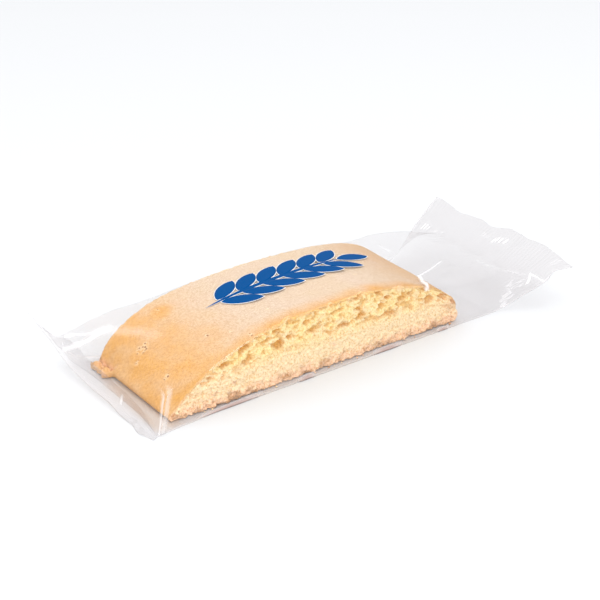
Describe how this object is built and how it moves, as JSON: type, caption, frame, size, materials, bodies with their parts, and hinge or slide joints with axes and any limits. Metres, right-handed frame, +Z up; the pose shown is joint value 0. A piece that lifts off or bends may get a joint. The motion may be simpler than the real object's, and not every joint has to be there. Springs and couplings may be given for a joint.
{
  "type": "wrapped biscotti slice",
  "caption": "Twice-baked biscotti slice with a domed golden crust and an open crumb face, sealed in a clear film flow-wrap bag with a crimped fin.",
  "frame": {"origin": "on the surface that the bag rests on, under the middle of the slice's base", "axes": "+X along the slice towards its blunt end and the bag's raised fin, -Y is the side of the cut face that shows, +Z up"},
  "size_m": [0.152, 0.0655, 0.0216],
  "materials": {
    "biscuit": "matte baked crust and crumb",
    "film": "clear glossy film"
  },
  "bodies": {
    "root": {"biscotti": "biscuit", "bag": "film"}
  },
  "joints": []
}
